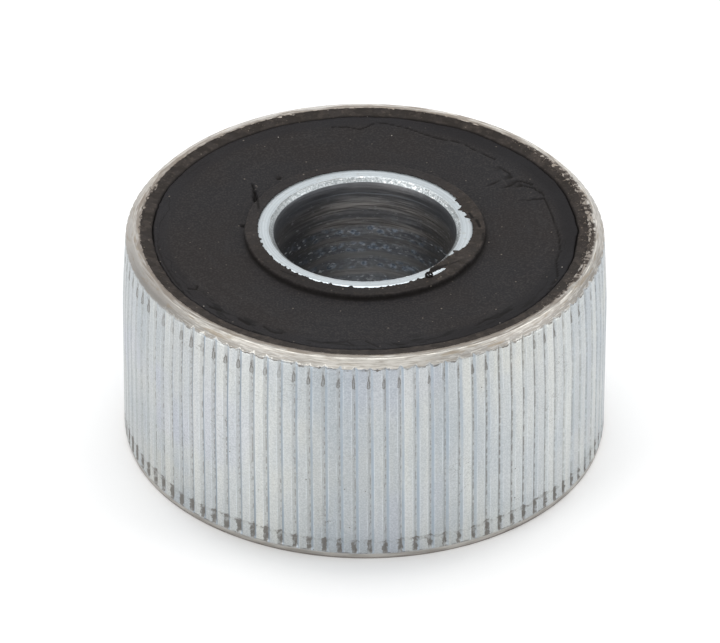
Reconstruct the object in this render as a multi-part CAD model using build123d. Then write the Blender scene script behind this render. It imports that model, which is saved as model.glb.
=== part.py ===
from build123d import *
import math
import os

# Rubber metal bush, an elastic bearing for a pivot or a mount. Its knurled outer sleeve is
# pressed into a housing, a bolt clamps the inner sleeve, and the rubber that is moulded and
# bonded between the two lets them twist and tilt a little.
# Millimetres. The origin is the centre of the lower end, and +Z runs along the bore.

bush_length = 15.3            # both sleeves are this long, so that their ends are flush

# Outer sleeve: turned steel tube with a straight knurl
land_diameter = 32.0          # over the knurl's lands, which grip the housing
outer_wall = 1.9
foot_break_width = 0.1        # the lower end only has its corner broken
foot_break_height = 0.45
lead_in_length = 5.2          # the upper end tapers a little, to enter the housing
lead_in_taper = 0.24          # off the radius, over that length
lead_chamfer_width = 0.48
lead_chamfer_height = 0.55

# Knurl: straight V grooves with flat lands between them
knurl_pitch = 1.0
groove_depth = 0.12
groove_angle = 120.0
groove_run_out = 0.2          # length over which a groove fades out above the foot
first_groove_angle = -88.8    # degrees from +X

# Inner sleeve: turned steel tube
bore_diameter = 12.0
inner_wall = 1.1
bore_chamfer = 0.3

# Rubber: each end has a collar round the inner sleeve, a dished face, a seam that the mould
# leaves, and a thin lip over the outer sleeve's mouth
collar_width = 0.8
collar_drop = 0.02            # from the bush's end down to the collar's top
collar_height = 0.4
dish_rise = 0.2               # the face climbs this much from the collar to the seam
seam_width = 0.14
seam_depth = 0.14
lip_root = 0.05               # rubber between the seam and the outer sleeve's wall
lip_width = 0.7
lip_thickness = 0.18          # at its root, from where it thins to a feather edge
lip_fall = 0.17               # from the bush's end down to the lip's root

land_radius = land_diameter / 2
outer_mouth_radius = land_radius - outer_wall
bore_radius = bore_diameter / 2
inner_sleeve_radius = bore_radius + inner_wall


def turned(outline):
    """A solid of revolution about +Z, from the (radius, height) points of its section."""
    section = make_face(Polyline(outline, close=True))
    return revolve(Plane.XZ * section, Axis.Z)


def both_ends(end_outline):
    """A closed section from the (radius, depth below the end) points of one end, from the
    axis outwards: the other end is its mirror image."""
    upper = [(radius, bush_length - depth) for radius, depth in end_outline]
    return upper + [(radius, depth) for radius, depth in reversed(end_outline)]


def knurl_groove():
    """The cutter of one groove at +X. It enters above the foot, runs straight up, leans in
    with the lead-in taper and runs out over the end: one level triangle, pushed along each
    leg of that route."""
    reach = groove_depth + lead_in_taper
    half_width = reach * math.tan(math.radians(groove_angle / 2))
    root_radius = land_radius - groove_depth
    taper_start = bush_length - lead_chamfer_height - lead_in_length
    over_the_end = lead_chamfer_height + groove_run_out
    route = [
        Vector(root_radius + groove_depth * 2, 0, foot_break_height - groove_run_out),
        Vector(root_radius, 0, foot_break_height + groove_run_out),
        Vector(root_radius, 0, taper_start),
        Vector(root_radius - lead_in_taper * (1 + over_the_end / lead_in_length), 0,
               taper_start + lead_in_length + over_the_end),
    ]
    triangle = make_face(Polyline((0, 0), (reach, -half_width), (reach, half_width), close=True))
    legs = []
    for start, end in zip(route, route[1:]):
        run = end - start
        legs.append(extrude(Pos(*start) * triangle, amount=run.length, dir=run))
    return legs[0] + legs[1:]


def outer_sleeve():
    lead_radius = land_radius - lead_in_taper
    chamfer_foot = bush_length - lead_chamfer_height
    mouth_depth = lip_fall + lip_thickness
    lip_edge_radius = outer_mouth_radius + lip_width
    blank = turned([
        (outer_mouth_radius, mouth_depth),
        (lip_edge_radius, 0),
        (land_radius - foot_break_width, 0),
        (land_radius, foot_break_height),
        (land_radius, chamfer_foot - lead_in_length),
        (lead_radius, chamfer_foot),
        (lead_radius - lead_chamfer_width, bush_length),
        (lip_edge_radius, bush_length),
        (outer_mouth_radius, bush_length - mouth_depth),
    ])
    groove = knurl_groove()
    groove_count = round(math.pi * land_diameter / knurl_pitch)
    angles = [first_groove_angle + 360 / groove_count * i for i in range(groove_count)]
    return blank - [Rot(0, 0, angle) * groove for angle in angles]


def inner_sleeve():
    return turned(both_ends([
        (bore_radius, bore_chamfer),
        (bore_radius + bore_chamfer, 0),
        (inner_sleeve_radius, 0),
    ]))


def rubber_body():
    collar_radius = inner_sleeve_radius + collar_width
    collar_foot = collar_drop + collar_height
    seam_outer_radius = outer_mouth_radius - lip_root
    seam_inner_radius = seam_outer_radius - seam_width
    face_edge = collar_foot - dish_rise
    seam_foot = face_edge + seam_depth
    return turned(both_ends([
        (inner_sleeve_radius, collar_drop),
        (collar_radius, collar_drop),
        (collar_radius, collar_foot),
        (seam_inner_radius, face_edge),
        (seam_inner_radius + seam_width / 2, seam_foot),
        (seam_outer_radius, lip_fall),
        (outer_mouth_radius + lip_width, 0),
        (outer_mouth_radius, lip_fall + lip_thickness),
    ]))


os.makedirs("parts", exist_ok=True)
export_step(outer_sleeve(), "parts/outer_sleeve.step")
export_step(rubber_body(), "parts/rubber_body.step")
export_step(inner_sleeve(), "parts/inner_sleeve.step")
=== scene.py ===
import math

import bpy
import numpy as np
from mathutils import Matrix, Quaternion, Vector, noise


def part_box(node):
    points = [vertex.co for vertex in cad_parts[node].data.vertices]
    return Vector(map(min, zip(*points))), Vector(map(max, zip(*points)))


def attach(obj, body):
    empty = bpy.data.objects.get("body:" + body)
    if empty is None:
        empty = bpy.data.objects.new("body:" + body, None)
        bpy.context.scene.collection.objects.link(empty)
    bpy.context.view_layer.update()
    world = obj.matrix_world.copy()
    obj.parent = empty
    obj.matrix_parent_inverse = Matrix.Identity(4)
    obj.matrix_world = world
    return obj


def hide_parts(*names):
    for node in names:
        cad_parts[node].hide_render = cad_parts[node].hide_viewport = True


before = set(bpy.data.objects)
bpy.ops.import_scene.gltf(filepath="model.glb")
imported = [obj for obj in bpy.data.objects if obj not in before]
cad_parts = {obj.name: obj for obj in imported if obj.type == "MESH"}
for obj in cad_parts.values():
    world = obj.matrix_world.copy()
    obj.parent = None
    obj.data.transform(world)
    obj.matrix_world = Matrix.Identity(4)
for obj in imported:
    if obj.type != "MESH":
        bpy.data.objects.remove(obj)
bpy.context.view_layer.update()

# ---- Outer sleeve ------------------------------------------------------------
# A turned steel tube, clear zinc plated. A knurling wheel has rolled straight V grooves
# into it, which fade out above the foot and run out over the end chamfer, where the
# metal that they push up stands as small burrs.
mm = 0.001
sleeve_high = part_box("outer_sleeve")[1]
bush_length = sleeve_high.z
land_radius = sleeve_high.x
outer_wall = 1.9 * mm
outer_mouth_radius = land_radius - outer_wall
lip_width = 0.7 * mm
lip_edge_radius = outer_mouth_radius + lip_width
mouth_depth = 0.35 * mm
film = 0.02 * mm                 # the steel ends lie this far under the rubber film on them
foot_break_width = 0.1 * mm
foot_break_height = 0.45 * mm
lead_in_taper = 0.24 * mm
lead_chamfer_width = 0.48 * mm
lead_chamfer_height = 0.55 * mm
lead_in_length = 5.2 * mm
chamfer_foot = bush_length - lead_chamfer_height
lead_in_start = chamfer_foot - lead_in_length
bead_rise = 0.018 * mm           # of the metal rolled up along the chamfer's edge
crease_fall = 0.04 * mm          # of the crease just below it
groove_count = 101
groove_depth = 0.12 * mm
groove_half_width = 0.21          # share of the pitch
groove_run_out = 0.2 * mm
groove_fade = 0.45               # share of its depth that a groove has lost at the chamfer
groove_fade_length = 1.2 * mm
first_groove_angle = math.radians(-88.47)
groove_lean = math.radians(0.5)  # the knurling wheel stood a little askew
# Across one pitch from groove to groove: share of the pitch, and share of the groove's depth
knurl_columns = [
    (-0.5, 0.97), (-0.465, 0.86), (-0.39, 0.48), (-0.32, 0.15), (-0.285, 0.02), (-0.24, 0.0), (0.0, 0.0),
    (0.24, 0.0), (0.285, 0.02), (0.32, 0.15), (0.39, 0.48), (0.465, 0.86), (0.5, 0.97),
]


def ramp(value, low, high):
    """0 below low, 1 above high, smooth between."""
    t = min(max((value - low) / (high - low), 0.0), 1.0)
    return t * t * (3 - 2 * t)


def land_at(height):
    """Radius over the lands, with the soft start of the lead-in taper."""
    rise = max(height - lead_in_start, 0.0) / (chamfer_foot - lead_in_start)
    return land_radius - lead_in_taper * rise ** 1.4


def lean_at(height):
    """Angle by which the grooves have wandered at a height, from where they are halfway up."""
    return math.tan(groove_lean) * (bush_length / 2 - height) / land_radius


def ring_of_faces(rows, columns, close_columns):
    """Quads of a grid whose rows close round the section, and whose columns may close too."""
    faces = []
    for row in range(rows):
        above = (row + 1) % rows
        for column in range(columns if close_columns else columns - 1):
            beside = (column + 1) % columns
            faces.append((row * columns + column, row * columns + beside,
                          above * columns + beside, above * columns + column))
    return faces


def new_piece(name, points, faces):
    mesh = bpy.data.meshes.new(name)
    mesh.from_pydata([tuple(p) for p in points], [], faces)
    piece = bpy.data.objects.new(name, mesh)
    bpy.context.scene.collection.objects.link(piece)
    return piece


def mark(piece, name, values):
    """Gives each point of a piece a number, for its nodes or its finish to read."""
    piece.data.attributes.new(name, "FLOAT", "POINT").data.foreach_set("value", values)


def polar(radius, angle, height):
    return (radius * math.cos(angle), radius * math.sin(angle), height)


def one_knurl_pitch():
    """One pitch of the sleeve's whole closed section, with the share of burr at each point."""
    wall_heights = [foot_break_height * share for share in (0.0, 0.12, 0.5, 0.88, 1.0)]
    wall_heights += [foot_break_height + groove_run_out * share for share in (0.3, 0.6, 1.0, 1.6)]
    body = np.linspace(foot_break_height + 0.8 * mm, chamfer_foot - 0.9 * mm, 12)
    wall_heights += list(body)
    wall_heights += [chamfer_foot + step * mm
                     for step in (-0.6, -0.35, -0.2, -0.13, -0.09, -0.06, -0.03, 0.0, 0.03, 0.06,
                                  0.1, 0.15, 0.21, 0.28, 0.36, 0.44)]
    end = bush_length - film
    rows = [("wall", height) for height in wall_heights]
    edge_radius = land_radius - lead_in_taper - lead_chamfer_width
    rows += [("ring", edge_radius + 0.035 * mm, bush_length - 0.03 * mm),
             ("ring", edge_radius + 0.01 * mm, bush_length - 0.006 * mm),
             ("ring", edge_radius - 0.02 * mm, bush_length),
             ("ring", edge_radius - 0.07 * mm, end),
             ("ring", lip_edge_radius + 0.2 * mm, end),
             ("ring", lip_edge_radius, end),
             ("ring", outer_mouth_radius, end - mouth_depth),
             ("ring", outer_mouth_radius, film + mouth_depth),
             ("ring", lip_edge_radius, film),
             ("ring", land_radius - foot_break_width - 0.15 * mm, film),
             ("ring", land_radius - foot_break_width - 0.05 * mm, 0.0)]
    points, burrs = [], []
    for row in rows:
        for share, depth_share in knurl_columns:
            angle = share * 2 * math.pi / groove_count
            burr = 0.0
            if row[0] == "wall":
                height = row[1]
                depth = groove_depth * ramp(height, foot_break_height, foot_break_height + groove_run_out)
                depth *= 1 - groove_fade * ramp(height, chamfer_foot - groove_fade_length, chamfer_foot)
                radius = land_at(height) - depth * depth_share
                above_foot = min(height / foot_break_height, 1.0)
                radius -= foot_break_width * (1 - above_foot) ** 1.3
                if height > chamfer_foot - 0.25 * mm:
                    chamfer = (land_radius - lead_in_taper
                               - lead_chamfer_width * (height - chamfer_foot) / lead_chamfer_height)
                    radius = min(radius, chamfer)
                    step = (height - chamfer_foot) / mm
                    bead = math.exp(-((step - 0.045) / 0.045) ** 2)
                    crease = math.exp(-((step + 0.06) / 0.04) ** 2)
                    on_land = 1 - depth_share * 0.8
                    radius += (bead_rise * bead - crease_fall * crease) * on_land
                    burr = bead * on_land
            else:
                radius, height = row[1], row[2]
            angle += lean_at(height)
            points.append(polar(radius, angle, height))
            burrs.append(burr)
    piece = new_piece("outer_sleeve_visual", points,
                      ring_of_faces(len(rows), len(knurl_columns), close_columns=False))
    mark(piece, "burr", burrs)
    return piece


def srgb(red, green, blue):
    """A colour as it looks on a screen, 0 to 255, as the linear colour that a shader takes."""
    def linear(c):
        c /= 255
        return c / 12.92 if c <= 0.04045 else ((c + 0.055) / 1.055) ** 2.4
    return (linear(red), linear(green), linear(blue), 1.0)


class Nodes:
    """A node tree, and the plain steps that the shapes and finishes here are made of."""

    def __init__(self, tree):
        self.tree = tree

    def feed(self, socket, value):
        """Gives a socket another node's output, a number, or a colour from 0 to 255."""
        if isinstance(value, bpy.types.NodeSocket):
            self.tree.links.new(value, socket)
        elif socket.type == "RGBA" and len(value) == 3:
            socket.default_value = srgb(*value)
        else:
            socket.default_value = value

    def node(self, kind, inputs=(), **settings):
        """The outputs of a new node that has these settings and inputs."""
        made = self.tree.nodes.new(kind)
        for key, value in settings.items():
            setattr(made, key, value)
        for key, value in dict(inputs).items():
            self.feed(made.inputs[key], value)
        return made.outputs

    def maths(self, operation, *values):
        return self.node("ShaderNodeMath", enumerate(values), operation=operation)[0]

    def chain(self, operation, values):
        """The same operation from value to value, however many there are."""
        result = values[0]
        for value in values[1:]:
            result = self.maths(operation, result, value)
        return result

    def plus(self, *values):
        return self.chain("ADD", values)

    def less(self, first, second):
        return self.maths("SUBTRACT", first, second)

    def both(self, *values):
        return self.chain("MULTIPLY", values)

    def most(self, *values):
        return self.chain("MAXIMUM", values)

    def range(self, value, low, high, start=0, end=1):
        """A smooth step: start where the value is below low, and end where it is above high."""
        return self.node("ShaderNodeMapRange", enumerate((value, low, high, start, end)),
                         interpolation_type="SMOOTHSTEP")[0]


def turning_tree():
    """Geometry Nodes that repeat one wedge round the axis, weld the copies and roughen them:
    Burr moves the points by their burr attribute, and Unevenness moves them all."""
    tree = bpy.data.node_groups.new("repeat_round_the_axis", "GeometryNodeTree")
    tree.interface.new_socket(name="Geometry", in_out="OUTPUT", socket_type="NodeSocketGeometry")
    for name, kind in (("Wedge", "Geometry"), ("Copies", "Int"), ("First Angle", "Float"),
                       ("Weld", "Float"), ("Burr", "Float"), ("Burr Scale", "Float"),
                       ("Unevenness", "Float"), ("Unevenness Scale", "Float"), ("Material", "Material")):
        tree.interface.new_socket(name=name, in_out="INPUT", socket_type="NodeSocket" + kind)
    g = Nodes(tree)
    group = g.node("NodeGroupInput")
    spots = g.node("GeometryNodePoints", {"Count": group["Copies"]})[0]
    turn = g.both(g.node("GeometryNodeInputIndex")[0], g.maths("DIVIDE", 2 * math.pi, group["Copies"]))
    spin = g.node("ShaderNodeCombineXYZ", {"Z": g.plus(turn, group["First Angle"])})[0]
    copies = g.node("GeometryNodeInstanceOnPoints",
                    {"Points": spots, "Instance": group["Wedge"], "Rotation": spin})[0]
    real = g.node("GeometryNodeRealizeInstances", {0: copies})[0]
    shape = g.node("GeometryNodeMergeByDistance", {"Geometry": real, "Distance": group["Weld"]})[0]
    burr = g.node("GeometryNodeInputNamedAttribute", {"Name": "burr"}, data_type="FLOAT")["Attribute"]
    for size, weight in (("Burr", burr), ("Unevenness", 1)):
        grain = g.node("ShaderNodeTexNoise", {"Scale": group[size + " Scale"], "Detail": 3})[0]
        push = g.both(g.less(grain, 0.5), group[size], weight)
        along = g.node("ShaderNodeVectorMath", {0: g.node("GeometryNodeInputNormal")[0], "Scale": push},
                       operation="SCALE")[0]
        shape = g.node("GeometryNodeSetPosition", {"Geometry": shape, "Offset": along})[0]
    smooth = g.node("GeometryNodeSetShadeSmooth", {"Geometry": shape})[0]
    finish = g.node("GeometryNodeSetMaterial", {"Geometry": smooth, "Material": group["Material"]})[0]
    g.node("NodeGroupOutput", {0: finish})
    return tree


def grown(piece, tree, **values):
    """Runs a Geometry Nodes tree on a piece and keeps the result as its plain mesh."""
    modifier = piece.modifiers.new("grow", "NODES")
    modifier.node_group = tree
    for item in tree.interface.items_tree:
        key = item.name.replace(" ", "_").lower()
        if item.in_out == "INPUT" and key in values:
            modifier[item.identifier] = values[key]
    bpy.context.view_layer.update()
    evaluated = piece.evaluated_get(bpy.context.evaluated_depsgraph_get())
    mesh = bpy.data.meshes.new_from_object(evaluated)
    piece.modifiers.remove(modifier)
    piece.data = mesh
    return piece


class Finish(Nodes):
    """A material on Object coordinates, and the patterns that the finishes are mixed from.
    Patterns that run round the axis have their size on a wall of the given radius."""

    def __init__(self, name, wall_radius):
        self.material = bpy.data.materials.new(name)
        self.material.use_nodes = True
        super().__init__(self.material.node_tree)
        self.wall_radius = wall_radius
        self.tree.nodes.clear()
        self.shader = self.tree.nodes.new("ShaderNodeBsdfPrincipled")
        self.node("ShaderNodeOutputMaterial", {"Surface": self.shader.outputs[0]})
        self.place = self.node("ShaderNodeTexCoord")["Object"]
        self.x, self.y, self.height = self.node("ShaderNodeSeparateXYZ", {0: self.place})
        self.angle = self.maths("ARCTAN2", self.y, self.x)
        self.radius = self.maths("POWER", self.plus(self.both(self.x, self.x), self.both(self.y, self.y)),
                                 0.5)

    def fall(self, value, low, high):
        return self.range(value, low, high, 1, 0)

    def between(self, share, start, end):
        return self.range(share, 0, 1, start, end)

    def off(self, value, centre):
        return self.maths("ABSOLUTE", self.less(value, centre))

    def band(self, value, centre, full, gone):
        """1 within full of a centre, and 0 further than gone from it."""
        return self.fall(self.off(value, centre), full, gone)

    def sector(self, low, high, start=0, end=1):
        """A smooth step between two angles in degrees."""
        return self.range(self.angle, math.radians(low), math.radians(high), start, end)

    def mix(self, share, first, second):
        return self.node("ShaderNodeMix", {0: share, 6: first, 7: second}, data_type="RGBA")[2]

    def noise(self, scale, detail, place=None):
        return self.node("ShaderNodeTexNoise",
                         {"Scale": scale, "Detail": detail, "Vector": place or self.place})[0]

    def around(self, along, across):
        """A place with so many cells a metre round the axis, and up or outwards from it."""
        along *= self.wall_radius
        return self.node("ShaderNodeCombineXYZ", enumerate((
            self.both(self.maths("DIVIDE", self.x, self.radius), along),
            self.both(self.maths("DIVIDE", self.y, self.radius), along),
            self.both(self.less(self.height, self.both(self.radius, 2)), across))))[0]

    def streaks(self, along, across, detail):
        return self.noise(1, detail, self.around(along, across))

    def grain(self, scale, detail, low, high, start=0, end=1):
        return self.range(self.noise(scale, detail), low, high, start, end)

    def stripes(self, along, across, detail, low, high, start=0, end=1):
        return self.range(self.streaks(along, across, detail), low, high, start, end)

    def specks(self, scale, core, edge, place=None):
        cells = self.node("ShaderNodeTexVoronoi", {"Scale": scale, "Vector": place or self.place})
        return self.fall(cells["Distance"], core, edge)

    def random(self, value):
        return self.node("ShaderNodeTexWhiteNoise", {"W": value}, noise_dimensions="1D")["Value"]

    def attribute(self, name):
        return self.node("ShaderNodeAttribute", attribute_name=name)["Fac"]

    def bump(self, height, strength, distance):
        bumped = self.node("ShaderNodeBump", {"Strength": strength, "Distance": distance, "Height": height})
        self.feed(self.shader.inputs["Normal"], bumped[0])

    def set(self, **values):
        for name, value in values.items():
            self.feed(self.shader.inputs[name.replace("_", " ")], value)
        return self.material


# Tints for bands of painted highlight and painted shade round the sleeve
painted_highlight_zinc = (214, 216, 213)
painted_shade_zinc = (160, 167, 173)


def zinc_on_the_knurl():
    """Dull zinc with a soft bloom under broad bands of painted highlight and painted shade: the right wall
    of each groove carries a painted blue reflection, its edges a painted highlight and its root painted
    shade and dirt;
    dried drops and grime sit on the left wall near both of its ends, and the end face and chamfer are worn
    bare, with painted highlights and shade on them."""
    f = Finish("knurled_zinc", land_radius)
    radius, angle, height = f.radius, f.angle, f.height
    wander = f.both(f.less(bush_length / 2, height), math.tan(groove_lean) / land_radius)
    turn = f.maths("DIVIDE", f.less(f.less(angle, first_groove_angle), wander), 2 * math.pi / groove_count)
    index = f.maths("ROUND", turn)
    # Across the pitch from -0.5 to 0.5, with 0 at the groove's root
    across = f.less(turn, index)
    away = f.maths("ABSOLUTE", across)
    # 1 on the right, towards +X
    aside = f.both(f.sector(-78, -50), f.sector(10, 40, 1, 0))
    far_left = f.sector(-130, -150)
    left_wall = f.both(f.range(across, -0.23, -0.19), f.fall(across, 0, 0.05))
    right_wall = f.both(f.range(across, 0.01, 0.06), f.fall(across, 0.18, 0.23))
    notch = f.both(f.fall(away, 0, groove_half_width), groove_depth * 0.75)
    ragged = f.grain(2300, 4, 0.32, 0.68, -0.07 * mm, 0.07 * mm)
    edge_height = f.less(f.less(height, notch), ragged)
    chamfer = f.range(edge_height, chamfer_foot - 0.01 * mm, chamfer_foot + 0.03 * mm)
    foot = f.fall(height, foot_break_height - 0.05 * mm, foot_break_height + 0.01 * mm)
    # Lands, each with a tone of its own under a cloudy bloom
    cloud = f.grain(150, 3, 0.38, 0.62)
    colour = f.mix(cloud, (178, 184, 188), (192, 195, 195))
    hue = f.noise(115, 2)
    colour = f.mix(f.both(f.range(hue, 0.53, 0.64, 0, 0.45), f.between(aside, 1, 0.2)), colour,
                   (184, 188, 205))
    colour = f.mix(f.range(hue, 0.47, 0.37, 0, 0.45), colour, (203, 201, 190))
    # Broad bands of painted highlight to the left and right of the front, and painted shade at the front
    for degrees, full, gone, share, tint in (
            (-117, 0.1, 0.35, 0.35, painted_highlight_zinc), (-84, 0.28, 0.55, 0.42, painted_shade_zinc),
            (-44, 0.1, 0.4, 0.15, painted_highlight_zinc)):
        colour = f.mix(f.range(f.off(angle, math.radians(degrees)), full, gone, share, 0), colour, tint)
    tone = f.random(f.maths("FLOOR", turn))
    colour = f.mix(f.both(tone, tone, 0.6), colour, (217, 218, 213))
    streak = f.stripes(1500, 130, 3, 0.42, 0.62)
    colour = f.mix(f.both(streak, 0.3), colour, (174, 182, 189))
    grain = f.noise(9500, 3)
    colour = f.mix(f.range(grain, 0.4, 0.72, 0, 0.24), colour, (154, 158, 160))
    colour = f.mix(f.range(grain, 0.6, 0.3, 0, 0.18), colour, (230, 232, 231))
    # Groove walls: the left wall a little darker, a painted blue reflection on the right wall, a painted
    # highlight along the groove edges and painted shade and dirt along the roots
    colour = f.mix(f.both(left_wall, 0.45), colour, (174, 177, 177))
    # Painted blue reflection on each groove's right wall, weaker on the right and on the far left
    blue = f.stripes(3000, 260, 2, 0.35, 0.65, 0.55, 1)
    blue = f.both(blue, f.less(1, f.most(f.both(aside, 0.8), f.both(far_left, 0.7))))
    colour = f.mix(f.both(right_wall, blue), colour, (166, 177, 187))
    # Painted highlight along the groove edges
    edge = f.both(f.band(away, 0.235, 0, 0.035), f.stripes(4000, 300, 3, 0.42, 0.6))
    colour = f.mix(f.both(edge, 0.6), colour, (218, 225, 230))
    # Painted shade and dirt along each groove's root, placed and weighted by angle round the sleeve
    hidden = f.sector(-45, -25, 0.02, -0.09)
    root = f.both(f.fall(f.maths("ABSOLUTE", f.plus(across, hidden, f.sector(10, 30, 0, 0.11))), 0.02,
                         f.between(aside, 0.055, 0.11)),
                  f.grain(3200, 4, f.between(aside, 0.47, 0.36), 0.56))
    deeper = f.both(aside, f.sector(-52, -34, 0.25, -0.2))
    colour = f.mix(f.both(root, f.plus(0.5, deeper)), colour, (118, 113, 107))
    # Grime: a drop near the upper end of each groove, and a column under the tide line
    own = f.random(f.plus(index, 0.37))
    rough_edge = f.grain(3300, 3, 0.3, 0.7, -0.06, 0.06)
    drop_foot = f.less(chamfer_foot - 1.3 * mm, f.both(own, 0.25 * mm))
    rise = f.less(height, drop_foot)
    middle = f.maths("ABSOLUTE", f.plus(across, f.between(aside, 0.1, -0.01)))
    fat = f.range(rise, 0, 0.16 * mm, 0, 0.13)
    slim = f.range(rise, 0.3 * mm, 0.95 * mm, 1, 0.3)
    inside = f.less(f.plus(f.both(fat, slim), f.both(rough_edge, 0.5)), middle)
    drop = f.both(f.range(inside, 0, 0.03), f.fall(rise, 0.9 * mm, 1.25 * mm))
    core = f.range(inside, 0.05, 0.1, 1, 0.45)
    drop = f.both(drop, core, f.range(own, 0.1, 0.7, 0.25, 0.92))
    tide = f.plus(f.stripes(300, 0, 3, 0.3, 0.7, 1.42 * mm, 1.68 * mm), f.both(rough_edge, 1.2 * mm))
    under = f.less(tide, height)
    column = f.both(f.fall(f.plus(middle, rough_edge), 0.13, 0.19), f.range(under, -0.02 * mm, 0.05 * mm),
                    f.range(height, 0.42 * mm, 0.55 * mm))
    column = f.both(column, f.grain(2600, 3, 0.34, 0.52, 0.35, 1))
    line = f.both(f.range(under, -0.02 * mm, 0.04 * mm), f.fall(under, 0.12 * mm, 0.34 * mm))
    dotted = f.grain(5200, 3, 0.42, 0.58, 0.15, 1)
    reach = f.range(f.plus(middle, f.both(rough_edge, 2)), 0.22, 0.42, 1, 0.35)
    line = f.both(line, dotted, reach, f.stripes(300, 0, 2, 0.4, 0.6, 0.3, 1))
    grime = f.most(drop, column, line)
    specks = f.specks(700, 0.03, 0.045)
    scratch = f.streaks(700, 1600, 5)
    scratch = f.both(f.band(scratch, 0.5, 0, 0.006), f.grain(260, 1, 0.6, 0.66))
    grime = f.most(f.both(grime, 0.82), f.both(f.most(specks, scratch), 0.8))
    colour = f.mix(grime, colour, (108, 103, 97))
    # Bare end: the chamfer's turned marks, a painted highlight on its front and along its top edge, painted
    # shade on its sides, and the burrs over the lands with painted highlights on them and painted shadow
    # under them
    marks = f.streaks(500, 6000, 4)
    broad = f.streaks(110, 300, 2)
    # 1 where the chamfer's marks, painted highlights and painted shadows are crisp: they fade on the far
    # left
    crisp = f.both(f.sector(-150, -132), f.sector(60, 100, 1, 0.3))
    steel = f.mix(f.range(marks, 0.38, 0.62, f.between(crisp, 0.4, 0), f.between(crisp, 0.7, 1)),
                  (163, 160, 156), (190, 187, 183))
    steel = f.mix(f.range(broad, 0.42, 0.62, 0, 0.5), steel, (168, 161, 153))
    # Painted highlight on the chamfer, strongest at the front and to its left
    steel = f.mix(f.both(crisp, f.sector(-80, -55, 1, 0.4), 0.5), steel, (208, 205, 197))
    # Painted shade on the chamfer to either side of the front
    from_front = f.off(angle, math.radians(-88))
    beside = f.both(f.range(from_front, math.radians(7), math.radians(22), 0, 0.5),
                    f.fall(from_front, math.radians(68), math.radians(92)))
    beside = f.both(beside, f.range(height, chamfer_foot + 0.42 * mm, chamfer_foot + 0.2 * mm, 0.6, 1.3))
    steel = f.mix(beside, steel, (124, 122, 119))
    grit = f.streaks(1300, 7000, 3)
    steel = f.mix(f.both(f.range(grit, 0.5, 0.66, 0, 0.6), f.plus(f.both(crisp, 0.7), 0.3)), steel,
                  (142, 135, 126))
    steel = f.mix(f.both(f.range(grit, 0.47, 0.36, 0, 0.4), crisp), steel, (218, 215, 208))
    smudge = f.streaks(520, 1500, 4)
    steel = f.mix(f.range(smudge, 0.56, 0.66, 0, 0.55), steel, (146, 133, 114))
    end_edge = land_radius - lead_in_taper - lead_chamfer_width
    face = f.range(radius, end_edge + 0.02 * mm, end_edge - 0.03 * mm)
    stain = f.range(f.plus(f.streaks(500, 2600, 4),
                           f.range(radius, lip_edge_radius, end_edge, 0.16, -0.08)), 0.4, 0.62)
    steel = f.mix(f.both(face, stain, 0.8), steel, (128, 119, 110))
    # Painted highlight along the chamfer's top edge
    edge_highlight = f.both(f.band(radius, end_edge + 0.015 * mm, 0.015 * mm, 0.04 * mm),
                     f.stripes(700, 800, 3, 0.4, 0.62))
    edge_highlight = f.both(edge_highlight, f.between(crisp, 0.2, 0.85))
    steel = f.mix(edge_highlight, steel, (222, 219, 211))
    # Painted highlight on the burrs at the chamfer's foot
    bead = f.both(f.fall(edge_height, chamfer_foot + 0.04 * mm, chamfer_foot + 0.09 * mm), crisp)
    bead = f.both(bead, f.sector(-100, -80, 0.55, 0.25))
    steel = f.mix(f.both(bead, f.grain(3400, 4, 0.48, 0.58)), steel, (240, 237, 230))
    soft_foot = f.range(height, chamfer_foot - 0.16 * mm, chamfer_foot + 0.12 * mm)
    chamfer = f.plus(f.both(chamfer, crisp), f.both(soft_foot, f.less(1, crisp)))
    colour = f.mix(chamfer, colour, steel)
    # Painted shadow in the crease under the burrs
    crease = f.both(f.band(edge_height, chamfer_foot - 0.05 * mm, 0.02 * mm, 0.065 * mm),
                    f.range(away, 0.2, 0.26, 0.5, 1))
    crease = f.both(crease, crisp, f.grain(1100, 3, 0.4, 0.56, 0.1, 0.95))
    colour = f.mix(crease, colour, (112, 107, 102))
    low = f.mix(f.stripes(600, 9000, 3, 0.35, 0.65), (168, 164, 159), (196, 193, 188))
    low = f.mix(f.range(height, 0.16 * mm, 0, 0, 0.75), low, (122, 114, 108))
    colour = f.mix(foot, colour, low)
    hem = f.both(f.band(height, foot_break_height + 0.03 * mm, 0.02 * mm, 0.06 * mm),
                 f.grain(1700, 4, 0.45, 0.6))
    colour = f.mix(f.both(hem, 0.65), colour, (106, 101, 96))
    # Rubber residue on the end face, beyond the lip
    fringe = f.range(f.off(angle, math.radians(2)), 0.35, 0.85, 0.3, 0)
    reach = f.plus(lip_edge_radius + 0.01 * mm, f.both(f.plus(fringe, 0.08), 1 * mm))
    residue = f.fall(f.less(radius, reach), -0.14 * mm, 0.06 * mm)
    residue = f.both(residue, f.grain(2900, 5, 0.47, 0.52),
                     f.range(height, bush_length - 0.12 * mm, bush_length - 0.06 * mm))
    colour = f.mix(residue, colour, (62, 54, 48))
    dirty = f.most(grime, residue)
    rough = f.most(f.range(grain, 0.3, 0.7, 0.42, 0.52), f.both(dirty, 0.8))
    relief = f.plus(f.both(grain, 0.6), f.both(f.noise(2400, 4), 1.2), f.both(marks, chamfer, 1.5))
    f.bump(relief, 0.35, 0.02 * mm)
    return f.set(Base_Color=colour, Roughness=rough, Metallic=f.between(dirty, 1, 0.2))


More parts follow.
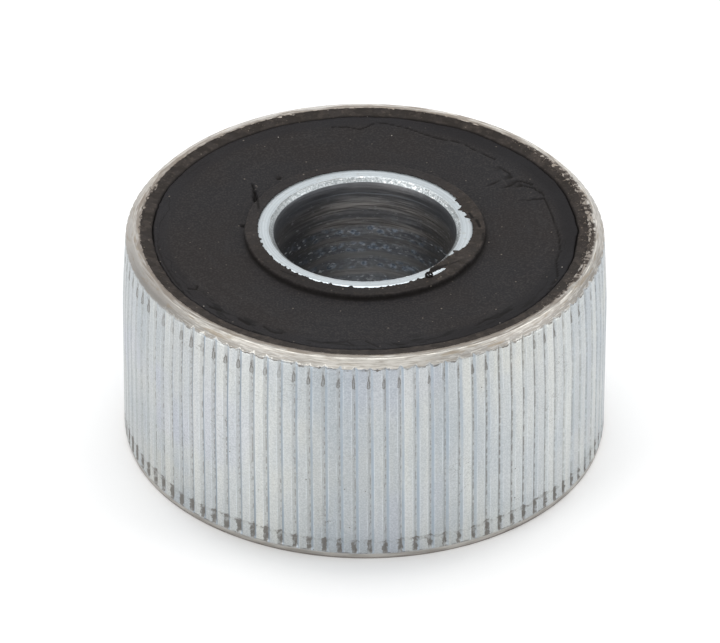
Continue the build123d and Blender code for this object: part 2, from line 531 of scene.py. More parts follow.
turning = turning_tree()
outer_sleeve = grown(one_knurl_pitch(), turning, copies=groove_count,
                     first_angle=first_groove_angle + math.pi / groove_count, weld=0.002 * mm,
                     burr=0.045 * mm, burr_scale=2100.0, unevenness=0.012 * mm, unevenness_scale=700.0,
                     material=zinc_on_the_knurl())
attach(outer_sleeve, "root")
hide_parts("outer_sleeve")

# ---- Inner sleeve ------------------------------------------------------------
# A turned steel tube, clear zinc plated: its ends are faced, its bore is broken with a
# small chamfer that the tool left rough, and the boring tool's rings still show inside.
inner_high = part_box("inner_sleeve")[1]
inner_sleeve_radius = inner_high.x
inner_wall = 1.1 * mm
bore_radius = inner_sleeve_radius - inner_wall
bore_chamfer = 0.3 * mm
inner_wedges = 120
inner_columns = 4


def one_inner_wedge():
    end = inner_high.z - film
    # From the bore outwards: millimetres out from its wall, and down from the end
    steps = ((0, 0.3), (0.06, 0.24), (0.15, 0.15), (0.24, 0.06), (0.3, 0.01), (0.36, 0), (0.6, 0),
             (0.85, 0))
    section = [(bore_radius + out * mm, end - down * mm) for out, down in steps]
    section.append((inner_sleeve_radius, end))
    lower = [(radius, inner_high.z - height) for radius, height in reversed(section)]
    bore = [(bore_radius, height)
            for height in np.linspace(film + bore_chamfer, end - bore_chamfer, 26)[1:-1]]
    section += lower + bore
    points = []
    for radius, height in section:
        for column in range(inner_columns + 1):
            angle = 2 * math.pi / inner_wedges * column / inner_columns
            points.append(polar(radius, angle, height))
    piece = new_piece("inner_sleeve_visual", points,
                      ring_of_faces(len(section), inner_columns + 1, close_columns=False))
    mark(piece, "burr", [1.0 if bore_radius + 0.02 * mm < radius < bore_radius + 0.34 * mm else 0.0
                         for radius, height in section for column in range(inner_columns + 1)])
    return piece


def zinc_in_the_bore():
    """Bright zinc on the faced end, a rough sparkling chamfer with painted glints and painted shade on its
    left, and a dull bore where bands of blue chatter marks lie between the brown rings of the boring tool,
    with painted glints, a painted highlight ring near its top and painted shade at its sides."""
    f = Finish("turned_zinc", bore_radius)
    radius, height = f.radius, f.height
    in_bore = f.fall(radius, bore_radius + 0.01 * mm, bore_radius + 0.04 * mm)
    on_chamfer = f.both(f.range(radius, bore_radius + 0.01 * mm, bore_radius + 0.04 * mm),
                        f.fall(radius, bore_radius + 0.29 * mm, bore_radius + 0.34 * mm))
    rings = f.streaks(60, 12000, 3)
    face = f.mix(f.range(rings, 0.38, 0.62), (175, 182, 186), (191, 198, 202))
    line = f.range(f.off(radius, bore_radius + 0.42 * mm), 0.01 * mm, 0.03 * mm, 0.6, 0)
    face = f.mix(line, face, (160, 166, 170))
    face = f.mix(f.grain(3000, 4, 0.58, 0.7, 0, 0.5), face, (168, 170, 166))
    sparkle = f.streaks(7000, 9000, 4)
    chamfer = f.mix(f.range(sparkle, 0.38, 0.66), (160, 166, 168), (214, 219, 221))
    chamfer = f.mix(f.stripes(420, 16000, 3, 0.5, 0.62, 0, 0.6), chamfer, (140, 143, 142))
    # Painted glints on the chamfer, fewer at the front and on the left, and painted shade on its left
    painted_glints = f.both(f.stripes(3000, 9000, 3, 0.58, 0.64), f.range(f.y, 1 * mm, 4 * mm, 0.15, 1),
                    f.range(f.x, -4.5 * mm, 1 * mm, 0.3, 1))
    chamfer = f.mix(painted_glints, chamfer, (255, 255, 255))
    chamfer = f.mix(f.range(f.x, 1 * mm, -3.5 * mm, 0, 0.45), chamfer, (132, 137, 139))
    face = f.mix(on_chamfer, face, chamfer)
    rim = f.range(f.off(radius, bore_radius + 0.31 * mm), 0.015 * mm, 0.04 * mm, 0.75, 0)
    rim = f.both(rim, f.stripes(700, 3000, 4, 0.4, 0.56), f.range(f.x, 0.5 * mm, -1.5 * mm, 0.25, 1))
    face = f.mix(rim, face, (104, 103, 99))
    # Tool rings, then chatter: five bands of blue cells, each band 1.3 mm below the last
    depth = f.less(bush_length, height)
    marks = f.streaks(420, 9500, 4)
    broad = f.streaks(160, 900, 3)
    bore = f.mix(f.range(marks, 0.36, 0.66), (134, 130, 127), (198, 194, 190))
    bore = f.mix(f.range(broad, 0.42, 0.62, 0, 0.6), bore, (122, 124, 128))
    bore = f.mix(f.range(depth, 3.5 * mm, 6.5 * mm, 0, 0.4), bore, (202, 202, 202))
    waver = f.stripes(230, 0, 2, 0.3, 0.7, -0.2 * mm, 0.2 * mm)
    step = f.maths("PINGPONG", f.less(f.plus(depth, waver), 4.1 * mm), 0.65 * mm)
    band = f.both(f.fall(step, 0.2 * mm, 0.56 * mm), f.range(depth, 3.2 * mm, 4 * mm, 0.12, 1))
    cells = f.specks(1, 0.2, 0.6, f.around(1700, 2100))
    net = f.streaks(3600, 4800, 4)
    blue = f.mix(f.range(net, 0.4, 0.62), (140, 152, 168), (204, 216, 230))
    bore = f.mix(f.both(band, f.between(cells, 0.35, 1)), bore, blue)
    dark_cells = f.both(f.range(cells, 0.3, 0.05), band, 0.25)
    bore = f.mix(dark_cells, bore, (92, 96, 104))
    # Painted shade on the bore's left and right sides
    bore = f.mix(f.range(f.x, -0.5 * mm, -5 * mm, 0, 0.82), bore, (76, 76, 78))
    bore = f.mix(f.range(f.x, 2.2 * mm, 5.4 * mm, 0, 0.75), bore, (80, 78, 76))
    # Painted glints in the blue bands, and a painted highlight ring near the top of the bore, faint at the
    # sides
    glint = f.both(f.stripes(2600, 6500, 3, 0.6, 0.68), f.between(band, 0.15, 0.7))
    bore = f.mix(glint, bore, (240, 244, 248))
    ring_highlight = f.band(depth, f.plus(1.12 * mm, f.both(waver, 0.3)), 0.02 * mm, 0.05 * mm)
    ring_highlight = f.both(ring_highlight, f.range(f.off(f.x, 0.8 * mm), 1.6 * mm, 4 * mm, 1, 0.1))
    bore = f.mix(f.both(ring_highlight, f.range(broad, 0.35, 0.55)), bore, (236, 244, 252))
    upper = f.range(depth, 1.06 * mm, 2.1 * mm, 0.72, 0)
    bore = f.mix(upper, bore, (98, 101, 106))
    colour = f.mix(in_bore, face, bore)
    relief = f.plus(f.both(f.plus(marks, f.both(band, cells)), in_bore), f.both(sparkle, on_chamfer, 2.2),
                    f.both(rings, 0.3))
    f.bump(relief, 0.5, 0.03 * mm)
    rough = f.plus(f.range(marks, 0.3, 0.7, 0.3, 0.45), f.both(in_bore, 0.1))
    return f.set(Base_Color=colour, Roughness=rough, Metallic=f.between(in_bore, 1, 0.75))


inner_sleeve = grown(one_inner_wedge(), turning, copies=inner_wedges, first_angle=0.0, weld=0.002 * mm,
                     burr=0.05 * mm, burr_scale=2600.0, unevenness=0.006 * mm, unevenness_scale=900.0,
                     material=zinc_in_the_bore())
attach(inner_sleeve, "root")
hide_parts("inner_sleeve")

# ---- Rubber ------------------------------------------------------------------
# Black rubber, moulded between the sleeves and bonded to both: a collar stands round the
# inner sleeve, the face is a little dished, a seam runs inside the outer sleeve's mouth,
# and thin flash laps over both steel ends, torn ragged where the mould was opened.
rubber_columns = 1040
angles = np.arange(rubber_columns) * 2 * math.pi / rubber_columns
collar_width = 0.8 * mm
collar_radius = inner_sleeve_radius + collar_width
collar_foot = 0.42 * mm          # the face's depth below the bush's end, at the collar
face_edge = 0.22 * mm            # and at the seam
seam_inset = 0.12 * mm
seam_radius = outer_mouth_radius - seam_inset
lip_root_depth = 0.17 * mm
wall_start = 0.6 * mm            # depth at which each moulded end gives way to the plain walls
bond = 0.02 * mm                 # the rubber's walls lie this far inside the steel
face_grain = 0.012 * mm
dice = np.random.default_rng(7)


def wander(lowest, highest, fall=0.5):
    """A smooth random line round the circle, about -1 to 1, from whole waves only."""
    line = np.zeros(rubber_columns)
    for waves in range(lowest, highest + 1):
        line += np.sin(waves * angles + dice.uniform(0, 2 * math.pi)) * waves ** -fall
    return line / np.abs(line).max()


def near(centre, half_width):
    """1 at an angle in degrees, falling smoothly to 0 at half_width degrees from it."""
    away = np.abs((np.degrees(angles) - centre + 180) % 360 - 180)
    share = np.clip(1 - away / half_width, 0, 1)
    return share * share * (3 - 2 * share)


def bumps(line, *places):
    """A line with smooth bumps on it, from (size, centre in degrees, half width) of each."""
    for size, centre, half_width in places:
        line = line + size * near(centre, half_width)
    return line


def through(*knots):
    """A line round the circle through (angle in degrees, value) knots."""
    knots = sorted((angle % 360, value) for angle, value in knots)
    return np.interp(np.degrees(angles), [k[0] for k in knots], [k[1] for k in knots], period=360)


def lumps(x, y, scale, seed):
    """Cloudy noise at each point, so many cells a metre."""
    return np.array([noise.noise(Vector((px * scale, py * scale, seed))) for px, py in zip(x, y)])


# How far the flash reaches in over the inner sleeve's end: a torn tongue on the right gets
# as far as the bore, and a narrow slit beside it shows the steel again
teeth = 1.4 * np.clip(wander(20, 90, 0.1) - 0.1, 0, 1) + 0.6 * np.clip(wander(60, 200, 0.1), 0, 1)
flash_reach = through((-90, 0.02), (-80, 0.02), (-74, 0.1), (-66, 0.08), (-60, 0.14), (-56, 0.1),
                      (-53.4, 0.1), (-52.4, 0.45), (-50, 0.55), (-46, 0.78), (-42, 1.02), (-38, 1.08),
                      (-34, 0.86), (-28, 0.62), (-22, 0.36), (-17, 0.16), (-13, 0.06), (-6, 0.0), (0, 0.0),
                      (6, 0.0), (9.5, 0.02), (10.5, 0.12), (11.5, 0.36), (13, 0.34), (14, 0.16), (16, 0.22),
                      (18, 0.3), (22, 0.26), (24, 0.14), (27, 0.2), (30.2, 0.2), (31, 0.0), (40, 0.0),
                      (90, -0.02), (135, 0.0), (180, 0.02), (198, 0.03), (202, 0.1), (212, 0.07),
                      (222, 0.12), (228, 0.06), (236, 0.12), (243, 0.04), (250, 0.08), (262, 0.03)) * mm
raggedness = 0.2 + through((-60, 1), (-35, 1.6), (10, 0.6), (20, 1.6), (32, 0.3), (90, 0), (170, 0.1),
                           (190, 0.6), (225, 1.3), (260, 0.9))
flash_reach += 0.14 * mm * teeth * np.clip(raggedness, 0, 2)
flash_reach += 0.02 * mm * wander(8, 60)
flash_radius = np.maximum(inner_sleeve_radius - flash_reach, bore_radius + 0.03 * mm)

# How far the lip reaches out over the outer sleeve's end: tongues on the left, a worn
# fringe on the right
drips = np.clip(wander(30, 110, 0.1) - 0.35, 0, 1)
fringe = np.clip(near(0, 52) * 1.25, 0, 1)
lip_reach = 0.03 * mm * wander(5, 25) + 0.06 * mm * drips + 0.02 * mm * wander(60, 240, 0.2)
lip_reach += 0.3 * mm * fringe * np.clip(0.45 + 0.7 * wander(24, 150, 0.2), 0, 1)
tongues = bumps(0, (0.32, 161, 4), (0.16, 166, 1.6), (0.24, 170.5, 1.4), (0.2, 175, 1.2),
                (0.18, 180.4, 1.3), (0.12, 187, 2), (0.1, 130, 2), (0.2, 113, 1.2), (0.15, 60, 2.5),
                (0.2, 40, 5), (0.2, 30, 5))
lip_reach += mm * tongues * (0.7 + 0.5 * wander(60, 240, 0.0))
lip_radius = np.minimum(lip_edge_radius + lip_reach, lip_edge_radius + 0.46 * mm)
seam_path = seam_radius + 0.07 * mm * wander(4, 22) + 0.03 * mm * wander(30, 150, 0.3)
seam_path += 0.06 * mm * near(0, 30) * wander(10, 60)
seam_open = bumps(0.75 + 0.5 * wander(6, 40, 0.3), (0.6, 5, 25), (0.4, 176, 20), (-0.7, -54, 14),
                  (-0.6, 94, 22), (-0.5, 207, 9), (-0.45, 122, 40))
seam_open = np.clip(seam_open, 0.08, 1.3)

# Cracks and tears in the face: half width and depth in millimetres, then the points as
# (radius, angle in degrees)
cracks = [
    (0.05, 0.2, [(9.55, 141.8), (8.9, 145.6)]),
    (0.1, 0.3, [(8.9, 145.6), (8.6, 148.2)]),
    (0.17, 0.34, [(8.5, 149), (8.15, 151.8)]),
    (0.09, 0.2, [(8.1, 152.3), (7.75, 156.2), (7.4, 161.5)]),
    (0.045, 0.08, [(12.92, 99.9), (12.85, 95.8), (12.5, 91.7), (12.87, 89.2), (13.23, 87.4), (13.29, 84),
                   (12.98, 77.6), (12.54, 71.4), (12.4, 66.9), (12.56, 62), (12.63, 58.5), (12.33, 52.8),
                   (12.39, 45.6)]),
    (0.06, 0.1, [(11.9, 42), (12, 37.3), (11.7, 32.4), (11.9, 28.6), (12.4, 25.7), (12.6, 22.3)]),
    (0.08, 0.12, [(11.7, 32.4), (12.2, 30.4), (12.5, 27.6)]),
    (0.07, 0.12, [(11.25, 20.8), (12.55, 19)]),
    (0.06, 0.1, [(10.9, 33), (11.2, 30.6)]),
    (0.06, 0.08, [(10.2, 37), (10.6, 34.4)]),
    (0.05, 0.08, [(12.7, 22.7), (12.5, 15), (12.53, 9.5), (12.75, -1.9), (13, -10.2), (13, -15.7),
                  (13.67, -23.1), (13.8, -28.6), (14.04, -32.4)]),
    (0.05, 0.05, [(13.65, 182), (13.7, 189.5), (13.7, 197.2), (13.7, 201), (13.7, 205), (13.8, 209)]),
    (0.07, 0.07, [(13.4, 211), (13, 212.5), (12.7, 211)]),
    (0.09, 0.06, [(13.5, 222), (13.3, 225.5)]),
    (0.12, 0.06, [(13.2, 232), (13.35, 236)]),
    (0.08, 0.06, [(13, 240), (13.3, 243), (13.2, 246)]),
    (0.06, 0.05, [(13.4, 258.5), (13.2, 262), (13, 265), (13.45, 267)]),
    (0.06, 0.05, [(12.9, 270.3), (13.3, 272.2), (13.65, 273.8)]),
    (0.05, 0.04, [(13.4, 278), (13.5, 280), (13.5, 284), (13.6, 287)]),
    (0.07, 0.05, [(13.2, 303), (13, 307), (13.3, 311), (13.2, 316)]),
    (0.17, 0.14, [(8.76, 131), (8.78, 130.6)]),
    (0.15, 0.14, [(8.05, 174), (8.08, 173.6)]),
    (0.19, 0.07, [(6.6, -48), (6.64, -43.7)]),
    (0.12, 0.07, [(6.64, -43.7), (6.86, -39.6)]),
    (0.07, 0.06, [(6.86, -39.6), (7.04, -36), (7.25, -32.2)]),
    (0.06, 0.07, [(7.48, -137.1), (7.37, -132.8), (7.29, -128.3)]),
    (0.1, 0.07, [(7.12, 15), (7.2, 10.5)]),
    (0.12, 0.07, [(7.42, 8), (7.55, 2)]),
    (0.1, 0.05, [(7.8, -4), (7.84, -10)]),
    (0.08, 0.04, [(7.86, -18), (7.9, -24)]),
    (0.1, 0.05, [(7.85, -30), (7.9, -38)]),
]

fully_dark = 0.07                # millimetres of depth at which a crack's painted shade and dirt turn black


def crack_field(x, y):
    """How deep the cracks cut at each point, and how much painted shade and dirt darkens them there."""
    depth, dark = np.zeros_like(x), np.zeros_like(x)
    for half_width, deep, path in cracks:
        corners = [(r * mm * math.cos(math.radians(a)), r * mm * math.sin(math.radians(a)))
                   for r, a in path]
        for (x0, y0), (x1, y1) in zip(corners, corners[1:]):
            length = max((x1 - x0) ** 2 + (y1 - y0) ** 2, 1e-12)
            along = np.clip(((x - x0) * (x1 - x0) + (y - y0) * (y1 - y0)) / length, 0, 1)
            away = np.hypot(x - x0 - along * (x1 - x0), y - y0 - along * (y1 - y0)) / (half_width * mm)
            depth = np.maximum(depth, deep * mm * np.exp(-away ** 4))
            dark = np.maximum(dark, np.exp(-away ** 4) * min(1.0, deep / fully_dark))
    return depth, dark


slit_start, slit_end = -52.5, -41.5          # degrees
slit_inner, slit_outer = 6.93 * mm, 7.17 * mm
gap_radius, gap_width = 6.8 * mm, 0.1 * mm   # of the painted shadow of a gap that runs along it
soft_edge = 0.04 * mm


def slit_field(radius):
    """The slit beside the tongue: how far the flash is missing, and the painted shadow of a gap above it.
    """
    turn = (np.degrees(angles) + 180) % 360 - 180
    inside = np.clip((turn - slit_start) / 1.5, 0, 1) * np.clip((slit_end - turn) / 1.5, 0, 1)
    slope = (slit_end - turn) * 0.012 * mm
    bare = inside * np.clip((radius - slit_inner + slope) / soft_edge, 0, 1)
    bare *= np.clip((slit_outer - radius) / soft_edge, 0, 1)
    gap_shadow = inside * np.exp(-((radius - gap_radius + slope) / gap_width) ** 4)
    return bare, gap_shadow


def upper_end():
    """Rows of the upper end from the inner sleeve outwards: radius, depth below the end, and
    how brown the rubber is and how much painted shade lies on it there."""
    rows = []

    def row(radius, depth, brown=0.0, dark=0.0):
        rows.append([value + np.zeros(rubber_columns) for value in (radius, depth, brown, dark)])

    def on_sleeve(radius):
        return np.maximum(bore_radius + bore_chamfer + 0.01 * mm - radius, 0.0) + 0.004 * mm

    row(flash_radius + 0.01 * mm, on_sleeve(flash_radius) + 0.035 * mm, 1.0)
    for share in np.linspace(0.0, 1.0, 17) ** 0.9:
        path = flash_radius * (1 - share) + (collar_radius - 0.05 * mm) * share
        # The slit's painted shadow goes in as painted shade
        bare, gap_shadow = slit_field(path)
        row(path, on_sleeve(path) + 0.05 * mm * bare,
            through((-60, 0.7), (-45, 0.9), (30, 0.8), (50, 0.3), (70, 0.12), (160, 0.12), (185, 0.5),
                    (215, 0.4), (250, 0.15)), gap_shadow)
    edge = 0.04 * mm * wander(12, 70) + 0.02 * mm * wander(50, 160, 0.0)
    row(collar_radius - 0.01 * mm + edge, 0.025 * mm, 0.3)
    row(collar_radius + 0.02 * mm + edge, 0.09 * mm, 0.2)
    # Painted shade on the collar's outer wall, light on its far side
    shade = through((-60, 1), (20, 1), (45, 0.3), (60, 0.1), (155, 0.1), (178, 0.4), (195, 1), (270, 1))
    row(collar_radius + 0.02 * mm + edge * 0.5, 0.24 * mm, 0.2, 0.5 * shade)
    row(collar_radius + 0.04 * mm, 0.36 * mm, 0.0, 0.95 * shade)
    row(collar_radius + 0.12 * mm, collar_foot, 0.0, 0.6 * shade)
    inner = collar_radius + 0.12 * mm
    shares = np.concatenate([np.linspace(0, 0.3, 14)[1:], np.linspace(0.3, 0.66, 4)[1:],
                             np.linspace(0.66, 1.0, 19)[1:]])
    for share in shares:
        path = inner * (1 - share) + (seam_path - 0.14 * mm) * share
        row(path, collar_foot * (1 - share) + face_edge * share)
    # Painted shade in the seam between the face and the lip
    row(seam_path - 0.06 * mm * seam_open, face_edge + 0.02 * mm * seam_open, 0.0, 0.1)
    row(seam_path - 0.035 * mm * seam_open, face_edge + 0.2 * mm * seam_open, 0.0, 1.0)
    row(seam_path + 0.015 * mm * seam_open, face_edge + 0.2 * mm * seam_open, 0.0, 1.0)
    row(seam_path + 0.05 * mm * seam_open, lip_root_depth + 0.02 * mm, 0.7, 0.35)
    for share in (0.1, 0.25, 0.42, 0.6, 0.78, 0.92):
        path = (seam_path + 0.07 * mm) * (1 - share) + lip_radius * share
        row(path, lip_root_depth * (1 - share) ** 0.8 + 0.006 * mm * (1 + wander(30, 120)), 1.0)
    row(lip_radius - 0.012 * mm, 0.008 * mm, 1.0)
    row(lip_radius + 0.008 * mm, 0.045 * mm, 1.0)
    return rows


def lower_end():
    """Rows of the lower end from outside inwards, plainer, since it is seldom seen."""
    rim, path = np.roll(lip_radius, 311), np.roll(seam_path, 411)
    flash = inner_sleeve_radius - 0.05 * mm * np.clip(wander(20, 120, 0.2), 0, 1)
    # Each row: radius, depth in millimetres, brownness and painted shade, which lies in the seam and on the
    # collar's wall
    plan = [(rim + 0.008 * mm, 0.045, 1, 0), (rim - 0.012 * mm, 0.006, 1, 0),
            (rim * 0.5 + path * 0.5, 0.08, 1, 0), (path + 0.05 * mm, 0.19, 0.7, 0.5),
            (path + 0.02 * mm, 0.4, 0, 1), (path - 0.02 * mm, 0.4, 0, 1), (path - 0.05 * mm, 0.25, 0, 0.5),
            (path - 0.15 * mm, 0.22, 0, 0), (path - 0.8 * mm, 0.25, 0, 0), (path - 2.6 * mm, 0.31, 0, 0),
            (path - 4.6 * mm, 0.37, 0, 0), (collar_radius + 0.12 * mm, 0.42, 0, 0.6),
            (collar_radius + 0.03 * mm, 0.34, 0, 0.9), (collar_radius + 0.02 * mm, 0.09, 0.6, 0),
            (collar_radius - 0.02 * mm, 0.02, 1, 0), (flash, 0.006, 1, 0), (flash + 0.01 * mm, 0.04, 1, 0)]
    return [[value + np.zeros(rubber_columns) for value in (radius, depth * mm, brown, dark)]
            for radius, depth, brown, dark in plan]


def circle(radius, height, brown=0, dark=0):
    """One row of points round the axis: x, y and height, and how brown they are and how much painted shade
    they carry.
    """
    return [value + 0 * angles
            for value in (radius * np.cos(angles), radius * np.sin(angles), height, brown, dark)]


def moulded_rubber():
    top = upper_end()
    # The rows from where the collar starts, then its outer half, the face and the lip
    collar_start, outer_half, face_start, lip_start = 10, 14, 22, len(top) - 12
    rings = []
    for index, (radius, depth, brown, dark) in enumerate(top):
        x, y = radius * np.cos(angles), radius * np.sin(angles)
        if index < lip_start:
            crack, shade = crack_field(x, y)
            dark = np.maximum(dark, shade)
        if face_start <= index < lip_start:
            depth = depth + crack + face_grain * (lumps(x, y, 900, 1.0) + 0.6 * lumps(x, y, 2600, 5.0))
        elif index < len(top) - 1:
            rough = 0.5 * lumps(x, y, 1700, 3.0) + 0.5 * lumps(x, y, 4200, 7.0)
            swell = 0.04 if index >= lip_start else 0.07 if index >= outer_half else 0.005
            if collar_start <= index < outer_half:
                swell = 0.02
            depth = np.maximum(depth + swell * mm * rough, 0.0)
        rings.append(circle(radius, bush_length - depth, brown, dark))
    for height in (bush_length - wall_start, wall_start):
        rings.append(circle(outer_mouth_radius + bond, height))
    rings += [circle(*row) for row in lower_end()]
    for height in (wall_start, bush_length - wall_start):
        rings.append(circle(inner_sleeve_radius - bond, height))
    points = np.concatenate([np.stack(ring[:3], 1) for ring in rings])
    faces = ring_of_faces(len(rings), rubber_columns, close_columns=True)
    piece = new_piece("rubber_body_visual", points, faces)
    for name, column in (("brown", 3), ("dark", 4)):
        mark(piece, name, np.concatenate([ring[column] for ring in rings]).astype(np.float32))
    piece.data.shade_smooth()
    return piece


def black_rubber():
    """Matt black with a fine grain, browner and dusty where it was thin in the mould, with painted shade in
    its cracks, seam and slit, on the collar and over the curl, and a painted shadow inside the seam on the
    right.
    """
    f = Finish("moulded_rubber", seam_radius)
    radius, angle = f.radius, f.angle
    cloud = f.noise(170, 3)
    colour = f.mix(f.range(cloud, 0.36, 0.64), (33, 32, 34), (38, 35, 35))
    smear = f.streaks(240, 900, 4)
    colour = f.mix(f.range(smear, 0.55, 0.7, 0, 0.4), colour, (46, 45, 46))
    grain = f.noise(7500, 3)
    colour = f.mix(f.range(grain, 0.42, 0.7, 0, 0.6), colour, (58, 55, 54))
    rim = f.range(radius, 12.6 * mm, 13.3 * mm)
    colour = f.mix(f.both(rim, 0.5), colour, (33, 32, 35))
    # Painted shadow inside the seam on the right
    colour = f.mix(f.both(f.range(radius, 12.2 * mm, 13.5 * mm), f.range(f.x, 1 * mm, 8 * mm, 0, 0.5)),
                   colour, (20, 19, 21))
    blotch = f.stripes(650, 1500, 4, 0.54, 0.61)
    blotch = f.both(blotch, f.range(radius, 12.2 * mm, 13.2 * mm), f.range(f.y, -3 * mm, -9 * mm, 0.15, 1))
    colour = f.mix(f.both(blotch, 0.85), colour, (18, 17, 17))
    wobble = f.stripes(300, 0, 3, 0.3, 0.7, -0.3 * mm, 0.3 * mm)
    hair = f.band(f.plus(radius, wobble), 13.4 * mm, 0.01 * mm, 0.045 * mm)
    hair = f.both(hair, f.stripes(150, 0, 2, 0.47, 0.53))
    colour = f.mix(f.both(hair, 0.8), colour, (20, 19, 19))
    brown = f.both(f.attribute("brown"), f.grain(1500, 4, 0.3, 0.7, 0.55, 1))
    colour = f.mix(brown, colour, (60, 54, 50))
    colour = f.mix(f.both(brown, f.grain(4200, 4, 0.54, 0.66, 0, 0.6)), colour, (80, 72, 66))
    colour = f.mix(f.both(brown, f.grain(1300, 4, 0.56, 0.44, 0, 0.85)), colour, (38, 34, 31))
    collar = f.range(radius, 8 * mm, 7.7 * mm)
    shaded = f.both(collar, f.range(f.plus(f.y, f.both(f.x, 0.25)), -2 * mm, -7.5 * mm, 0, 0.5))
    colour = f.mix(shaded, colour, (24, 21, 20))
    golden = f.both(collar, brown, f.grain(3600, 3, 0.62, 0.7))
    colour = f.mix(f.both(golden, 0.7), colour, (96, 85, 74))
    # Pale dust: single specks all over, and crumbs of scale along the lip, most on the right
    sides = f.most(f.range(f.x, 7 * mm, 13 * mm),
                   f.range(f.off(angle, math.radians(118)), 0.06, 0.2, 0.8, 0))
    edge = f.both(f.range(radius, seam_radius - 0.1 * mm, seam_radius + 0.15 * mm),
                  f.range(f.height, bush_length - 0.5 * mm, bush_length - 0.3 * mm))
    crumbs = f.range(f.plus(f.noise(6200, 3), f.range(radius, seam_radius, lip_edge_radius, -0.03, 0.03)),
                     f.less(0.72, f.both(sides, 0.075)), f.less(0.76, f.both(sides, 0.075)))
    colour = f.mix(f.both(crumbs, edge, 0.7), colour, (132, 121, 108))
    dust = f.both(f.specks(1250, 0.05, 0.085), f.grain(2500, 1, 0.35, 0.65, 0.25, 1))
    colour = f.mix(dust, colour, (112, 105, 97))
    colour = f.mix(f.specks(420, 0.013, 0.02), colour, (180, 174, 166))
    # Painted shade from the dark attribute: cracks, seam, slit, collar wall and curl
    colour = f.mix(f.attribute("dark"), colour, (15, 12, 10))
    f.bump(f.plus(f.both(grain, 0.8), f.noise(3000, 3), f.both(brown, f.noise(5000, 4))), 0.5, 0.02 * mm)
    return f.set(Base_Color=colour, Roughness=f.range(cloud, 0.3, 0.7, 0.62, 0.72), Specular_IOR_Level=0.12)


rubber_body = moulded_rubber()
rubber_black = black_rubber()
rubber_body.data.materials.append(rubber_black)
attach(rubber_body, "root")
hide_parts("rubber_body")

# ---- Curl of flash -----------------------------------------------------------
# A thread of rubber flash that tore off the mould's edge and rolled up into a small loop.
# It still hangs on beside the slit and lies on the inner sleeve's end.
curl_radius = 0.185 * mm
curl_thickness = 0.075 * mm
curl_angle = math.radians(-53.5)
curl_centre = Vector(polar(7.02 * mm, curl_angle, bush_length + 0.08 * mm))
curl_points, curl_steps, curl_sides = [], 34, 8
for step_index in range(curl_steps):
    share = step_index / (curl_steps - 1)
    turn = math.radians(-40 + 400 * share)
    swing = curl_radius * (1.25 - 0.4 * share)
    middle = curl_centre + Vector((swing * math.cos(turn), swing * math.sin(turn),
                                   0.25 * swing * math.sin(turn)))
    out = Vector((math.cos(turn), math.sin(turn), 0))
    thick = curl_thickness * (0.6 + 0.5 * math.sin(math.pi * min(share * 1.1, 1.0)))
    for side_index in range(curl_sides):
        side = 2 * math.pi * side_index / curl_sides
        curl_points.append(middle + thick
                           * (math.cos(side) * out + 0.8 * math.sin(side) * Vector((0, 0, 1))))
curl_faces = [(i * curl_sides + j, i * curl_sides + (j + 1) % curl_sides,
               (i + 1) * curl_sides + (j + 1) % curl_sides, (i + 1) * curl_sides + j)
              for i in range(curl_steps - 1) for j in range(curl_sides)]
curl_faces += [tuple(range(curl_sides))[::-1],
               tuple(range((curl_steps - 1) * curl_sides, curl_steps * curl_sides))]
flash_curl = new_piece("flash_curl", curl_points, curl_faces)
# Painted shade darkens the whole curl
mark(flash_curl, "dark", [0.9] * len(curl_points))
flash_curl.data.shade_smooth()
flash_curl.data.materials.append(rubber_black)
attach(flash_curl, "root")

# ---- Floor, light and camera -------------------------------------------------
# A seamless white sweep under a bright dome, with one soft box behind and above the bush
# and one on each side of the camera.
sweep = 3.0
floor_white = 0.93
floor_lift = 0.12                # a glow that brings the floor up to the white of the dome
painted_shadow_width = 3.6 * mm             # and that fades away towards the foot over this width, a painted shadow round it
dome_light = 0.62                # what the dome gives the bush; the camera sees it as 1
floor_mesh = bpy.data.meshes.new("floor")
floor_mesh.from_pydata([(-sweep, -sweep, 0), (sweep, -sweep, 0), (sweep, sweep, 0), (-sweep, sweep, 0)], [],
                       [(0, 1, 2, 3)])
floor = bpy.data.objects.new("floor", floor_mesh)
bpy.context.scene.collection.objects.link(floor)


def in_the_picture(g):
    """1 for a ray that the camera sees, straight or by way of gloss or glass, and 0 otherwise."""
    ray = g.node("ShaderNodeLightPath")
    return g.most(ray["Is Camera Ray"], ray["Is Glossy Ray"], ray["Is Transmission Ray"])


white = bpy.data.materials.new("white_sweep")
white.use_nodes = True
white.node_tree.nodes.clear()
paint = Nodes(white.node_tree)
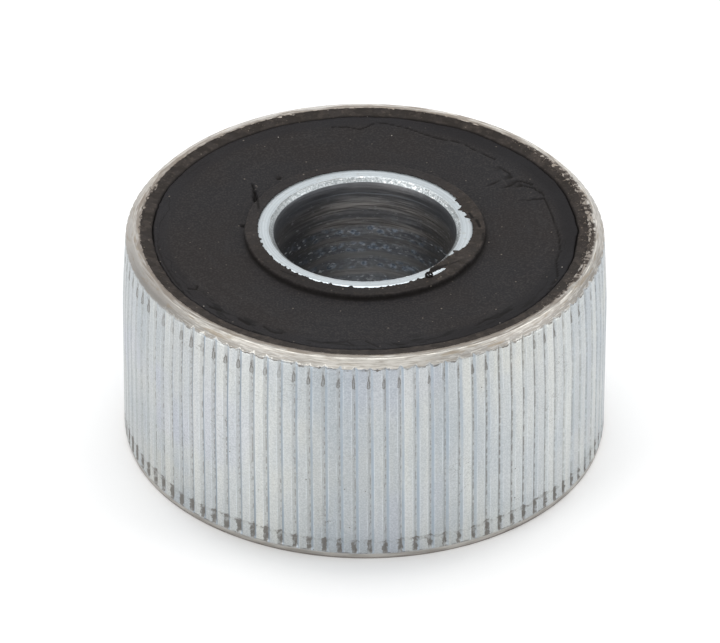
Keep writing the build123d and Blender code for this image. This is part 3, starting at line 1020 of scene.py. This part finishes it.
# The lift to white fades out near the foot, sooner beside the bush than in front of it: a painted shadow
# round the foot
narrowed = paint.node("ShaderNodeVectorMath",
                      {0: paint.node("ShaderNodeTexCoord")["Object"], 1: (1.2, 1, 1)},
                      operation="MULTIPLY")[0]
reach = paint.node("ShaderNodeVectorMath", {0: narrowed}, operation="LENGTH")["Value"]
clear = paint.range(reach, land_radius, land_radius + painted_shadow_width)
lift = paint.both(in_the_picture(paint), floor_lift, clear)
matt = paint.node("ShaderNodeBsdfDiffuse", {"Color": (floor_white, floor_white, floor_white, 1)})[0]
glow = paint.node("ShaderNodeEmission", {"Strength": lift})[0]
paint.node("ShaderNodeOutputMaterial",
           {"Surface": paint.node("ShaderNodeAddShader", {0: matt, 1: glow})[0]})
floor_mesh.materials.append(white)

world = bpy.data.worlds.new("studio")
world.use_nodes = True
dome = Nodes(world.node_tree)
level = dome.node("ShaderNodeMapRange",
                  {"Value": in_the_picture(dome), "To Min": dome_light, "To Max": 1})["Result"]
sky = world.node_tree.nodes["Background"]
sky.inputs["Color"].default_value = (1, 1, 1, 1)
dome.feed(sky.inputs["Strength"], level)
bpy.context.scene.world = world


def soft_box(name, width, height, power, place):
    """A lamp so many metres wide and high, of so many watts, aimed at the bush."""
    lamp_data = bpy.data.lights.new(name, "AREA")
    lamp_data.shape = "RECTANGLE"
    lamp_data.size, lamp_data.size_y = width, height
    lamp_data.energy = power
    lamp = bpy.data.objects.new(name, lamp_data)
    lamp.location = place
    lamp.rotation_euler = (-lamp.location).to_track_quat("-Z", "Y").to_euler()
    bpy.context.scene.collection.objects.link(lamp)


soft_box("top_box", 0.36, 0.28, 0.85, Vector((0.0, 0.12, 0.44)))
soft_box("left_box", 0.2, 0.4, 0.6, Vector((-0.36, -0.26, 0.2)))
soft_box("right_box", 0.2, 0.4, 0.5, Vector((0.44, -0.06, 0.2)))

camera_data = bpy.data.cameras.new("camera")
camera_data.lens = 400.0
camera_data.sensor_width = 36.0
camera_data.clip_start, camera_data.clip_end = 0.01, 20.0
camera = bpy.data.objects.new("camera", camera_data)
elevation = math.radians(33.9)
roll = math.radians(0.25)
distance = 33.13 * land_radius
target = Vector((-0.019 * land_radius, 0.0, 0.494 * land_radius))
back = Vector((0.0, -math.cos(elevation), math.sin(elevation)))
camera.location = target + back * distance
camera.rotation_mode = "QUATERNION"
camera.rotation_quaternion = (-back).to_track_quat("-Z", "Y") @ Quaternion((0, 0, 1), roll)
bpy.context.scene.collection.objects.link(camera)
bpy.context.scene.camera = camera
bpy.context.scene.view_settings.view_transform = "Standard"
